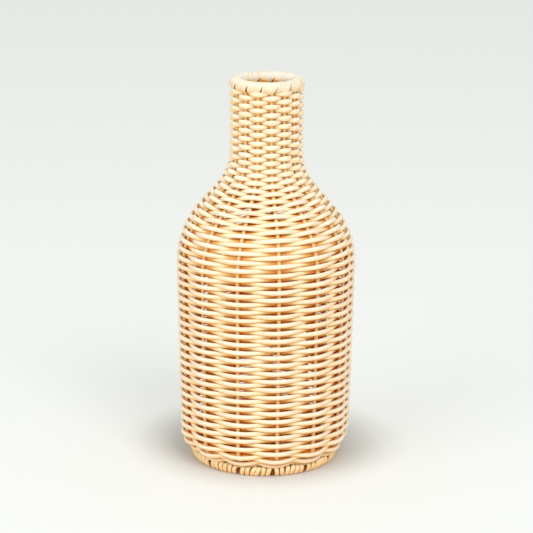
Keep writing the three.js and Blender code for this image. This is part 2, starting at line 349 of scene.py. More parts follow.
@dataclass
class StrandMesh:
    """Tubes of rattan gathered into one mesh, with what the finishes need to know at each point.

    Attributes:
        grain: Millimetres along, across and out of the strand.
        tone: How dark the strand's own colour is, with painted shade added on the neck's stakes.
        painted_shade: How much shade is painted on the point, where the weave would shade it.
        count: Points so far.
    """

    name: str
    vertices: list[np.ndarray] = field(default_factory=list)
    faces: list[tuple[int, ...]] = field(default_factory=list)
    grain: list[np.ndarray] = field(default_factory=list)
    tone: list[np.ndarray] = field(default_factory=list)
    painted_shade: list[np.ndarray] = field(default_factory=list)
    count: int = 0

    def add_tube(
        self,
        path: np.ndarray,
        normals: np.ndarray,
        section: np.ndarray,
        half_width: np.ndarray | float,
        half_thickness: np.ndarray | float,
        tone: np.ndarray | float,
        depth: np.ndarray | float = CLEAR_STAND,
        outs: np.ndarray | None = None,
        lit: np.ndarray | float = 0.0,
        closed: bool = False,
    ) -> None:
        """Sweeps a section along a path.

        Args:
            path: Points of the middle line.
            normals: The way that the section's thickness lies at each point.
            section: Corners of the section as shares of half its width and half its thickness.
            half_width: Half the width, across the strand, all along or at each point.
            half_thickness: Half the thickness, towards the normals, all along or at each point.
            tone: How dark the strand's own colour is, from 0 to 1, all along or at each point.
            depth: How far the middle line counts as standing out, for its painted shade, all along or at
                each point.
            outs: The way out of the wall at each point, where that isn't the normals.
            lit: How much light from the mouth reaches the inner side, from 0 to 1.
            closed: Whether the path ends where it starts.
        """
        rows, sides = len(path), len(section)
        if closed:
            along = unit(np.roll(path, -1, axis=0) - np.roll(path, 1, axis=0))
        else:
            along = unit(np.gradient(path, axis=0))
        across = unit(np.cross(normals, along))
        out = np.cross(along, across)
        wide = column(half_width, rows) * section[None, :, 0]
        thick = column(half_thickness, rows) * section[None, :, 1]
        points = path[:, None] + across[:, None] * wide[..., None] + out[:, None] * thick[..., None]
        run = np.concatenate([[0.0], np.cumsum(np.linalg.norm(np.diff(path, axis=0), axis=1))])
        grain = np.stack([np.repeat(run[:, None], sides, axis=1), wide, thick], axis=-1)
        rise = np.einsum("rsi,ri->rs", points - path[:, None], normals if outs is None else outs)
        # Painted shade: the colour turns golden and honey where the weave would shade the point, and less so
        # on an inner side that light from the mouth reaches.
        painted_shade_share = np.interp(rise + column(depth, rows), STANDS, PAINTED_SHADES)
        inward = np.sqrt(np.clip(-rise / np.abs(rise).max(), 0, 1))
        self.vertices.append(points.reshape(-1, 3))
        self.grain.append(grain.reshape(-1, 3))
        self.tone.append(np.repeat(np.broadcast_to(tone, rows), sides))
        self.painted_shade.append((painted_shade_share * (1 - column(lit, rows) * inward)).reshape(-1))
        self._join(rows, sides, closed)

    def add_ring(
        self,
        radius: float,
        height: float,
        half_width: float,
        half_thickness: float,
        tone: float,
        steps: int,
        sides: int,
    ) -> None:
        """Bends a level ring about the vase's axis.

        Args:
            radius: Distance of its middle line from the axis.
            height: Height of its middle line.
            half_width: Half its size up and down.
            half_thickness: Half its size in and out.
            tone: How dark its own colour is, from 0 to 1.
            steps: Points along it.
            sides: Points round its section.
        """
        angle = 2 * np.pi * np.arange(steps) / steps
        path = polar(np.full(steps, radius), np.full(steps, height), angle)
        normals = polar(np.ones(steps), np.zeros(steps), angle)
        self.add_tube(path, normals, round_section(sides), half_width, half_thickness, tone, closed=True)

    def _join(self, rows: int, sides: int, closed: bool) -> None:
        """Adds the faces of a tube.

        Args:
            rows: Points along the tube.
            sides: Points round it.
            closed: Whether the tube ends where it starts. An open one gets a face at each end.
        """
        index = self.count + np.arange(rows * sides).reshape(rows, sides)
        following = np.roll(index, -1, axis=0) if closed else index[1:]
        current = index if closed else index[:-1]
        corners = [current, np.roll(current, -1, axis=1), np.roll(following, -1, axis=1), following]
        self.faces.extend(map(tuple, np.stack(corners, axis=-1).reshape(-1, 4).tolist()))
        if not closed:
            self.faces.append(tuple(index[0][::-1].tolist()))
            self.faces.append(tuple(index[-1].tolist()))
        self.count += rows * sides

    def make(self, material: bpy.types.Material, slot: Slot, *nodes: str) -> bpy.types.Object:
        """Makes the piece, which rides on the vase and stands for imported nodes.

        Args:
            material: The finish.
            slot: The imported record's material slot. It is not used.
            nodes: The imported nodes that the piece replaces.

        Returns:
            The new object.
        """
        mesh = bpy.data.meshes.new(self.name)
        mesh.from_pydata((np.concatenate(self.vertices) * MM).tolist(), [], self.faces)
        for label, kind, values, key in (
            ("grain", "FLOAT_VECTOR", self.grain, "vector"),
            ("tone", "FLOAT", self.tone, "value"),
            ("painted_shade", "FLOAT", self.painted_shade, "value"),
        ):
            layer = mesh.attributes.new(label, kind, "POINT")
            layer.data.foreach_set(key, np.concatenate(values).astype(np.float32).ravel())
        # The tube's faces have four corners and are smooth. The faces at its ends stay flat.
        mesh.polygons.foreach_set("use_smooth", [len(face) == 4 for face in self.faces])
        mesh.materials.append(material)
        mesh.update()
        piece = add_object(self.name, mesh)
        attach(piece, BODY)
        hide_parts(*nodes)
        LOG.info("%s: %d faces for %s", self.name, len(self.faces), ", ".join(nodes))
        return piece


@dataclass
class Weave:
    """The weaving strands: one spiral of plain weave, joined from lengths of core behind the stakes.

    Attributes:
        strand_diameter: Diameter of the shown strand, whose rows touch where they pass between the stakes.
        row_gap: Gap that rows of the outline's weaver diameter would have there.
        start_radius: Distance from the axis at which the weave starts in the base.
        pitch_change: How much further apart than the mean the lowest rows lie, and closer the highest.
        row_shift: How far the whole spiral is moved along the wall.
        settled: How far the lowest rows have settled.
        settle_share: Share of the spiral over which settling and sag fade in, from its start in the base.
        sag: How far the lower rows sag at the sides besides.
        sag_below: Share of the spiral under which they sag.
        sag_fade: Share of the spiral under that by which the sag is full.
        tilt: How far the shoulder's rows tilt, within the shares of the spiral that follow.
        row_wander: How far a row strays from its place at a crossing, as a standard deviation.
        slack: How much further off a stake a strand may lie.
        thickness_change: Standard deviation of the core's thickness, as a share.
        squeeze: How much of their two diameters strand and stake lose together where they press.
        fullness: How much broader a strand is where it presses on a stake, on the outside.
        inner_fullness: The same on the inside.
        neck_fullness: How much broader it is besides in the neck's tight bends.
        press_power: How short the narrow stretch midway between two stakes is. A higher power is shorter.
        neck_swell: How far the strand bulges out between stakes in the neck.
        neck_painted_shade: How much deeper in the wall the neck's strands count as lying, for painted shade.
        neck_light: How much light from the mouth reaches the neck's inside.
        own_tone: Share of the tone that is one strand's own. The rest changes along the strand.
        tone_run: Crossings over which the tone changes.
        tucked_crossings: Crossings that the last strand runs on, tucked under the rim.
        end_share: Gap at a strand's end, as a share of the way to the next crossing.
    """

    outline: WallOutline
    strand_diameter: float = 3.14
    row_gap: float = 0.19
    start_radius: float = 20.0
    strands: int = 28
    pitch_change: float = 0.05
    row_shift: float = -0.1
    steps_per_crossing: int = 8
    sides: int = 10
    settled: float = 3.5
    settle_share: float = 0.12
    sag: float = 1.2
    sag_below: float = 0.6
    sag_fade: float = 0.25
    tilt: float = 1.2
    tilt_from: float = 0.4
    tilt_fade_in: float = 0.2
    tilt_to: float = 0.85
    tilt_fade_out: float = 0.15
    row_wander: float = 0.16
    slack: float = 0.12
    thickness_change: float = 0.03
    squeeze: float = 0.4
    fullness: float = 0.5
    inner_fullness: float = 1.15
    neck_fullness: float = 0.5
    press_power: int = 6
    neck_swell: float = 0.7
    neck_painted_shade: float = 0.4
    neck_light: float = 0.85
    own_tone: float = 0.35
    tone_run: float = 3.0
    tucked_crossings: int = 12
    end_share: float = 0.07
    seed: int = 11

    @property
    def pitch(self) -> float:
        """Rise of the spiral in a turn, along the wall."""
        return self.outline.weaver_diameter + self.row_gap

    @property
    def crossings(self) -> int:
        """Counts the crossings of strand and stake from the start in the base to the rim.

        Returns:
            The last crossing.
        """
        wall = self.outline
        top = wall.rim_height - wall.rim_thickness / 2 - wall.fit_gap - wall.weaver_side / 2
        end = wall.lengths[-1] - (wall.stake_top - top)
        return int((end - self.start_radius - self.row_shift) / self.pitch * wall.stakes.count)

    def length_at(self, crossing: np.ndarray) -> np.ndarray:
        """Follows the spiral, whose rows lie closer towards the rim.

        Args:
            crossing: Fractional crossings, counted from the start in the base.

        Returns:
            Lengths along the outline at which the spiral passes them.
        """
        rows = crossing / self.outline.stakes.count
        most = self.crossings / self.outline.stakes.count
        eased = rows + self.pitch_change / self.pitch * rows * (1 - rows / most)
        return self.start_radius + self.row_shift + self.pitch * eased

    def drift(self, crossing: np.ndarray, angle: np.ndarray) -> np.ndarray:
        """How far the hand-laid rows lie from an even spiral, along the wall.

        Args:
            crossing: Fractional crossings, counted from the start in the base.
            angle: Angles about the vase's axis there.

        Returns:
            Lengths along the outline. The lower rows have settled, most at the sides, and the shoulder's
            rows tilt.
        """
        share = crossing / self.crossings
        wall = np.clip(share / self.settle_share, 0, 1)
        low = np.clip((self.sag_below - share) / self.sag_fade, 0, 1)
        tilted = np.clip((share - self.tilt_from) / self.tilt_fade_in, 0, 1)
        tilted = tilted * np.clip((self.tilt_to - share) / self.tilt_fade_out, 0, 1)
        down = self.settled * (1 - share) ** 2 + self.sag * low * np.cos(angle) ** 2
        return self.tilt * tilted * np.cos(angle) - wall * down

    def joins(self) -> list[tuple[int, int]]:
        """Finds the crossings at which each length of core starts and ends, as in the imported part.

        Returns:
            First and last crossing of each strand.
        """
        share = (self.crossings - 1) / self.strands
        ends = [1 + 2 * round(share * number / 2) for number in range(self.strands)] + [self.crossings]
        return list(zip(ends, ends[1:]))

    def build(self, material: bpy.types.Material) -> None:
        """Makes one piece for each length of core.

        Args:
            material: The strands' finish.
        """
        plan = self.outline.stakes
        rng = np.random.default_rng(self.seed)
        count = self.crossings + self.tucked_crossings + 2
        wander = rng.normal(0, self.row_wander, count)
        slack = rng.uniform(0, self.slack, count)
        swell = rng.normal(1, self.thickness_change, count)
        shade = rng.uniform(0, 1, count)
        # Plain weave: in front of one stake and behind the next.
        side = np.where(np.arange(count) % 2 == 0, 1.0, -1.0)
        offsets = side * ((self.strand_diameter + plan.diameter - self.squeeze) / 2 + slack)
        section = round_section(self.sides)
        spans = self.joins()
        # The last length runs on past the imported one, tucked under the rim.
        spans[-1] = (spans[-1][0], self.crossings + self.tucked_crossings)
        for number, (start, end) in enumerate(spans, 1):
            steps = (end - start) * self.steps_per_crossing + 1
            at = np.linspace(start + self.end_share, end - self.end_share, steps)
            length = self.length_at(at) + self.drift(at, plan.angle(at)) + ease(wander, at)
            radius, height, across, up = self.outline.at(length)
            angle = plan.angle(at, height)
            narrow = self.outline.neck_share(height)
            between = np.abs(np.sin(np.pi * at))
            offset = ease(offsets, at) + self.neck_swell * narrow * between**2
            path = polar(radius + offset * across, height + offset * up, angle)
            half = self.strand_diameter / 2 * ease(swell, at)
            fuller = np.where(offset > 0, self.fullness, self.inner_fullness) + self.neck_fullness * narrow
            broad = half + fuller / 2 * (1 - between**self.press_power)
            tone = self.own_tone * rng.uniform() + (1 - self.own_tone) * ease(shade, at / self.tone_run)
            # The neck's strands get more painted shade, and less on their inner side, where light falls in
            # at the mouth.
            depth, lit = offset - self.neck_painted_shade * narrow, self.neck_light * narrow
            strand = StrandMesh(f"woven_strand_{number:02d}")
            strand.add_tube(path, polar(across, up, angle), section, broad, half, tone, depth, lit=lit)
            strand.make(material, Slot.WEAVER, f"weaver_{number:02d}")


@dataclass
class Stakes:
    """The uprights: rods bent into a U that cross in two layers under the base, and a half rod.

    Attributes:
        layer_step: Distance between the layers, and between neighbouring rods of a layer.
        crossing_edge: Distance from the axis at which the rods leave the crossing.
        crossing_lanes: Half the straight run of a rod in the crossing, counted in layer steps.
        lower_shift: Which way the lower layer runs, in stakes from the front one.
        leg_step: Length between the points of an upright.
        corner_rounds: How often the corners of the crossing are cut back.
        corner_cut: Share of the way to the next point that each cut takes.
        axis_clear: Distance from the axis under which the way out of the wall fades to nothing.
        tone: Tone of the lightest rods. The others are one or two tone steps darker, in turn.
        neck_shade_tone: How much darker the neck's stakes are painted, as shade between the neck's strands.
        neck_shade_depth: How far out of the wall the neck's stakes count as lying, for their painted shade.
        neck_light: How much light from the mouth reaches them on the inside.
    """

    outline: WallOutline
    layer_step: float = 3.4
    crossing_edge: float = 17.0
    crossing_lanes: float = 2.5
    lower_shift: float = 0.25
    leg_step: float = 2.0
    corner_rounds: int = 3
    corner_cut: float = 0.25
    axis_clear: float = 1.0
    tone: float = 0.45
    tone_step: float = 0.1
    tones: int = 3
    neck_shade_tone: float = 1.2
    neck_shade_depth: float = -1.0
    neck_light: float = 0.85
    sides: int = 10

    @property
    def crossing_half(self) -> float:
        """Half the straight run of a rod over the other layer."""
        return self.crossing_lanes * self.layer_step + self.outline.fit_gap

    def _leg(self, index: int) -> np.ndarray:
        """Follows an upright from the rim down and in to where the rods begin to cross.

        Args:
            index: Which upright, counted from the front one.

        Returns:
            Points of its middle line.
        """
        length = np.arange(self.outline.lengths[-1], self.crossing_edge, -self.leg_step)
        radius, height, _, _ = self.outline.at(length)
        return polar(radius, height, self.outline.stakes.angle(index, height))

    def _smooth(self, points: np.ndarray) -> np.ndarray:
        """Rounds the corners of a line by cutting each one back.

        Args:
            points: Points of the line.

        Returns:
            More points, which start and end where the line does.
        """
        for _ in range(self.corner_rounds):
            near = points[:-1] * (1 - self.corner_cut) + points[1:] * self.corner_cut
            far = points[:-1] * self.corner_cut + points[1:] * (1 - self.corner_cut)
            cut = np.stack([near, far], axis=1).reshape(-1, 3)
            points = np.concatenate([points[:1], cut, points[-1:]])
        return points

    def _rod(self, first: int, second: int | None, turn: float, lane: float, layer: int) -> np.ndarray:
        """Follows a rod from one upright through the crossing to the other.

        Args:
            first: Index of the upright that it starts as.
            second: Index of the upright that it ends as, or None on the half rod.
            turn: The way that its layer runs.
            lane: Its place beside the others of its layer.
            layer: -1 for the lower layer, 1 for the upper.

        Returns:
            Points of its middle line.
        """
        height = self.outline.base_height + layer * self.layer_step / 2
        run = np.array([self.crossing_half, -self.crossing_half])
        side = np.full(2, lane * self.layer_step)
        across = run * math.cos(turn) - side * math.sin(turn)
        ahead = run * math.sin(turn) + side * math.cos(turn)
        crossing = np.stack([across, ahead, np.full(2, height)], axis=-1)
        down = self._leg(first)
        if second is None:
            middle = self._smooth(np.concatenate([down[-2:], crossing]))
            return np.concatenate([down[:-2], middle])
        back = self._leg(second)[::-1]
        middle = self._smooth(np.concatenate([down[-2:], crossing, back[:2]]))
        return np.concatenate([down[:-2], middle, back[2:]])

    def build(self, material: bpy.types.Material) -> None:
        """Makes one piece for each rod.

        Args:
            material: The rods' finish.
        """
        plan = self.outline.stakes
        lower = plan.pairs // 2
        upper = plan.pairs - lower
        opposite = (plan.count + 1) // 2
        next_first = (lower + 1) // 2
        lower_turn = float(plan.angle(self.lower_shift))
        upper_turn = float(plan.angle(0)) + math.pi / 2
        rods = []
        for i in range(lower):
            lane = i - (lower - 1) / 2
            rods.append((f"lower_{i + 1}", round(lane), opposite - round(lane), lower_turn, lane, -1))
        for i in range(upper):
            first = next_first + i
            rods.append((f"upper_{i + 1}", first, -first, upper_turn, i - (upper - 1) / 2, 1))
        rods.append(("half", next_first + upper, None, upper_turn, (upper + 1) / 2, 1))
        section, half = round_section(self.sides), plan.diameter / 2
        for number, (label, first, second, turn, lane, layer) in enumerate(rods):
            path = self._rod(first, second, turn, lane, layer)
            angle = float(plan.angle(first))
            facing = np.tile([math.sin(angle), -math.cos(angle), 0.0], (len(path), 1))
            reach = np.maximum(np.linalg.norm(path[:, :2], axis=1), self.axis_clear)
            outs = path * [1, 1, 0] / reach[:, None]
            narrow = self.outline.neck_share(path[:, 2])
            # The neck's stakes are painted darker and more shaded: shade between the neck's strands.
            tone = self.tone + self.tone_step * (number % self.tones) + self.neck_shade_tone * narrow
            depth, lit = self.neck_shade_depth * narrow, self.neck_light * narrow
            rod = StrandMesh(f"stake_core_{label}")
            rod.add_tube(path, facing, section, half, half, tone, depth, outs, lit)
            rod.make(material, Slot.STAKE, f"stake_rod_{label}")


@dataclass
class Rim:
    """The rolled rim: a hoop on the ends of the stakes, bound with a broad fibrous band.

    Attributes:
        gap_heights: Heights on the rolled rim, from -1 at its underside to 1 on top.
        outer_gaps: Gaps between the band's loops there, outside. Below 0 the loops overlap.
        inner_gaps: The same inside.
        gap_change: How much a gap may differ from that, as a share.
        first_loop: Where the band starts, in stakes from the front one.
        end_loops: How much of the last loop is left out.
        ridges: Ridges across the band, where its fibres lie side by side.
        ridge_depth: How deep they are, as a share of half the band's thickness.
        ripple_depth: The same for the uneven ripple over them.
        ripple_pace: Ripples to a ridge.
        ripple_start: Angle at which the ripple stands in the middle of the band.
        edge_drop: How much thinner the band is at its edges, as a share of half its thickness.
        edge_power: How close to its edges the band thins. A higher power is closer.
        ridge_power: How close to its edges the ridges run, in the same way.
        inner_points: Points across the flat inside, with its corners.
        tone_change: How much darker a loop may be.
        inner_shade_lift: Height on the rolled rim under which the band's inside gets painted shade.
        inner_shade_depth: How far into the wall the band's inside counts as lying, for its painted shade.
    """

    outline: WallOutline
    hoop_diameter: float = 5.0
    hoop_tone: float = 0.7
    band_thickness: float = 1.9
    gap_heights: tuple[float, ...] = (-1.0, -0.75, -0.3, 0.35, 1.0)
    outer_gaps: tuple[float, ...] = (2.8, 1.2, 0.2, -0.8, -1.4)
    inner_gaps: tuple[float, ...] = (2.8, 1.8, 0.4, -1.0, -1.4)
    gap_change: float = 0.5
    first_loop: float = 0.25
    end_loops: float = 0.125
    steps_per_loop: int = 36
    ridges: int = 6
    points_per_ridge: int = 8
    ridge_depth: float = 0.14
    ripple_depth: float = 0.12
    ripple_pace: float = 1.6
    ripple_start: float = 1.3
    edge_drop: float = 0.8
    edge_power: int = 8
    ridge_power: int = 6
    inner_points: int = 7
    tone_change: float = 0.4
    inner_shade_lift: float = 0.3
    inner_shade_depth: float = 9.0
    hoop_steps: int = 96
    hoop_sides: int = 14
    seed: int = 3

    def build(self, hoop_material: bpy.types.Material, band_material: bpy.types.Material) -> None:
        """Makes the hoop and its band.

        Args:
            hoop_material: The hoop's finish.
            band_material: The band's finish.
        """
        hoop = StrandMesh("rim_core_hoop")
        hoop.add_ring(
            radius=self.outline.rim_ring_radius,
            height=self.outline.rim_height,
            half_width=self.hoop_diameter / 2,
            half_thickness=self.hoop_diameter / 2,
            tone=self.hoop_tone,
            steps=self.hoop_steps,
            sides=self.hoop_sides,
        )
        hoop.make(hoop_material, Slot.HOOP, "rim_hoop")
        self._band().make(band_material, Slot.BINDING, "rim_binding")

    def _section(self) -> np.ndarray:
        """Draws the band's section: ridged outside where its fibres lie side by side, and flat inside.

        Returns:
            Its corners as shares of half its width and half its thickness.
        """
        across = np.linspace(-1, 1, self.points_per_ridge * self.ridges + 1)
        ridge = self.ridge_depth * np.cos(np.pi * self.ridges * (across + 1))
        ripple = np.cos(self.ripple_pace * np.pi * self.ridges * across + self.ripple_start)
        rough = (ridge + self.ripple_depth * ripple) * (1 - np.abs(across) ** self.ridge_power)
        top = 1 - self.edge_drop * np.abs(across) ** self.edge_power - rough
        inside = np.linspace(1, -1, self.inner_points)[1:-1]
        upper = np.stack([across, top], axis=-1)
        lower = np.stack([inside, np.full_like(inside, -1.0)], axis=-1)
        return np.concatenate([upper, lower])[::-1]

    def _band(self) -> StrandMesh:
        """Winds the band, once round the hoop between each two stakes.

        Returns:
            Its mesh.
        """
        plan, ring = self.outline.stakes, self.outline.rim_ring_radius
        loops = plan.count - self.end_loops
        turn = np.linspace(0, loops, int(loops * self.steps_per_loop) + 1)
        angle = plan.angle(self.first_loop + turn, self.outline.rim_height)
        round_hoop = np.pi * (1 + 2 * turn)
        outward, lift = np.cos(round_hoop), np.sin(round_hoop)
        reach = (self.outline.rim_thickness - self.band_thickness) / 2
        radius = ring + reach * outward
        path = polar(radius, self.outline.rim_height + reach * lift, angle)
        pitch = radius * np.gradient(angle, turn)
        slant = np.cos(np.arctan2(pitch, 2 * np.pi * reach))
        rng = np.random.default_rng(self.seed)
        uneven = ease(rng.uniform(1 - self.gap_change, 1 + self.gap_change, plan.count + 2), turn)
        outer = np.interp(lift, self.gap_heights, self.outer_gaps)
        inner = np.interp(lift, self.gap_heights, self.inner_gaps)
        half_width = (pitch * slant - uneven * np.where(outward > 0, outer, inner)) / 2
        tone = self.tone_change * ease(rng.uniform(0, 1, plan.count + 2), turn)
        # Painted shade on the lower part of the band's inside.
        inside = np.clip(-outward, 0, 1) * np.clip(self.inner_shade_lift - lift, 0, 1)
        depth = CLEAR_STAND - self.inner_shade_depth * inside
        normals, half = polar(outward, lift, angle), self.band_thickness / 2
        band = StrandMesh("rim_bound_band")
        band.add_tube(path, normals, self._section(), half_width, half, tone, depth)
        return band


@dataclass
class Foot:
    """The foot: a thin hoop under the bend of the base, lashed with short upright loops in three lengths.

    Attributes:
        loop_height: Height of a loop over its outside.
        loop_depth: Depth of a loop from outside to inside.
        taper: How much further out a loop stands at its top than at its bottom.
        squareness: How round a loop is: 1 is round, and less is squarer.
        lengths: Lengths of strand, each of which lashes its share of the hoop.
        upright: How upright the loops' outer runs are, from 0 to 1. Their inner runs slant the more.
        crowding: How closely the loops crowd away from the stakes' places, where the hoop shows.
        gap_shift: Angle by which those places lie beside the stakes.
        lean: How far a loop leans, as a standard deviation of its angle.
        loop_shade_depth: How far out of the wall the loops count as lying, for painted shade in their
            crevices.
        end_loops: How much of each length's last loop is left out.
    """

    outline: WallOutline
    hoop_width: float = 2.2
    hoop_height: float = 6.6
    hoop_tone: float = 0.8
    strand_width: float = 3.5
    strand_thickness: float = 2.6
    loop_height: float = 8.2
    loop_depth: float = 7.6
    taper: float = 2.2
    squareness: float = 0.75
    lengths: int = 3
    loops_per_length: int = 26
    steps_per_loop: int = 20
    upright: float = 0.7
    crowding: float = 0.2
    gap_shift: float = -0.04
    lean: float = 0.03
    lightest_tone: float = 0.3
    tone_change: float = 0.4
    loop_shade_depth: float = 0.0
    sides: int = 10
    hoop_steps: int = 120
    end_loops: float = 0.16
    seed: int = 5

    def build(self, hoop_material: bpy.types.Material, strand_material: bpy.types.Material) -> None:
        """Makes the hoop and the lengths of lashing.

        Args:
            hoop_material: The hoop's finish.
            strand_material: The lashing's finish.
        """
        hoop = StrandMesh("foot_core_hoop")
        hoop.add_ring(
            radius=self.outline.foot_ring_radius,
            height=self.loop_height / 2,
            half_width=self.hoop_height / 2,
            half_thickness=self.hoop_width / 2,
            tone=self.hoop_tone,
            steps=self.hoop_steps,
            sides=self.sides,
        )
        hoop.make(hoop_material, Slot.HOOP, "foot_hoop")
        rng = np.random.default_rng(self.seed)
        for number in range(self.lengths):
            strand = self._lashing(number, rng)
            strand.make(strand_material, Slot.BINDING, f"foot_binding_{number + 1}")

    def _lashing(self, number: int, rng: np.random.Generator) -> StrandMesh:
        """Winds one length of strand round its share of the hoop.

        Args:
            number: Which length.
            rng: Source of the small differences between loops.

        Returns:
            The mesh of the strand.
        """
        plan = self.outline.stakes
        loops = self.loops_per_length - self.end_loops
        turn = np.linspace(0, loops, int(loops * self.steps_per_loop) + 1)
        share = 2 * np.pi / self.lengths
        advance = turn + self.upright * np.sin(2 * np.pi * turn) / (2 * np.pi)
        first = plan.angle(0) + self.gap_shift
        even = first + share * (number + advance / self.loops_per_length)
        place = plan.count * (even - first)
        # The first three waves of a sawtooth, which opens a narrow gap at each stake's place.
        crowd = np.sin(place) + np.sin(2 * place) / 2 + np.sin(3 * place) / 3
        round_hoop = np.pi * (1 + 2 * turn)
        outward, lift = np.cos(round_hoop), np.sin(round_hoop)
        leans = rng.normal(0, self.lean, self.loops_per_length + 2)
        angle = even + self.crowding / plan.count * crowd + ease(leans, turn) * lift / 2
        sideways, upright = self._square(outward), self._square(lift)
        reach_up = (self.loop_height - self.strand_thickness) / 2
        reach_out = (self.loop_depth - self.strand_thickness) / 2
        radius = self.outline.foot_ring_radius + reach_out * sideways + self.taper / 2 * upright
        path = polar(radius, self.loop_height / 2 + reach_up * upright, angle)
        shades = rng.uniform(0, 1, self.loops_per_length + 2)
        tone = self.lightest_tone + self.tone_change * ease(shades, turn)
        normals, section = polar(outward, lift, angle), round_section(self.sides)
        half_width, half_thickness = self.strand_width / 2, self.strand_thickness / 2
        strand = StrandMesh(f"foot_lashing_{number + 1}")
        # The loops get painted shade at their sides, where they press together.
        strand.add_tube(path, normals, section, half_width, half_thickness, tone, self.loop_shade_depth)
        return strand

    def _square(self, part: np.ndarray) -> np.ndarray:
        """Makes the round course of a loop squarer."""
        return np.sign(part) * np.abs(part) ** self.squareness


def linear(code: str) -> tuple[float, float, float, float]:
    """Turns an sRGB hex colour into linear red, green, blue and alpha, with the constants of that standard.

    Args:
        code: The colour, such as "#F2DCAE".

    Returns:
        Linear values from 0 to 1.
    """
    parts = (int(code[i : i + 2], 16) / 255 for i in (1, 3, 5))
    return (*(part / 12.92 if part <= 0.04045 else ((part + 0.055) / 1.055) ** 2.4 for part in parts), 1.0)


def bare_tree(owner: bpy.types.Material | bpy.types.World) -> bpy.types.NodeTree:
    """Empties the node tree of a new material or world.

    Args:
        owner: The material or world.

    Returns:
        Its node tree.
    """
    owner.use_nodes = True
    owner.node_tree.nodes.clear()
    return owner.node_tree


def add_node(
    tree: bpy.types.NodeTree, kind: str, settings: dict[str, object] | None = None, **inputs: object
) -> bpy.types.Node:
    """Adds a node with its settings, values and links.

    Args:
        tree: The node tree.
        kind: The node's type.
        settings: Properties of the node.
        inputs: Values or output sockets for its inputs, by name with underscores for spaces, or by number as
            i0. The two colours of a colour mix are i6 and i7, and its result is output 2.

    Returns:
        The new node.
    """
    node = tree.nodes.new(kind)
    for key, value in (settings or {}).items():
        setattr(node, key, value)
    for key, value in inputs.items():
        number = key[1:] if key[0] == "i" and key[1:].isdigit() else None
        socket = node.inputs[int(number)] if number else node.inputs[key.replace("_", " ")]
        if isinstance(value, bpy.types.NodeSocket):
            tree.links.new(value, socket)
        else:
            socket.default_value = value
    return node


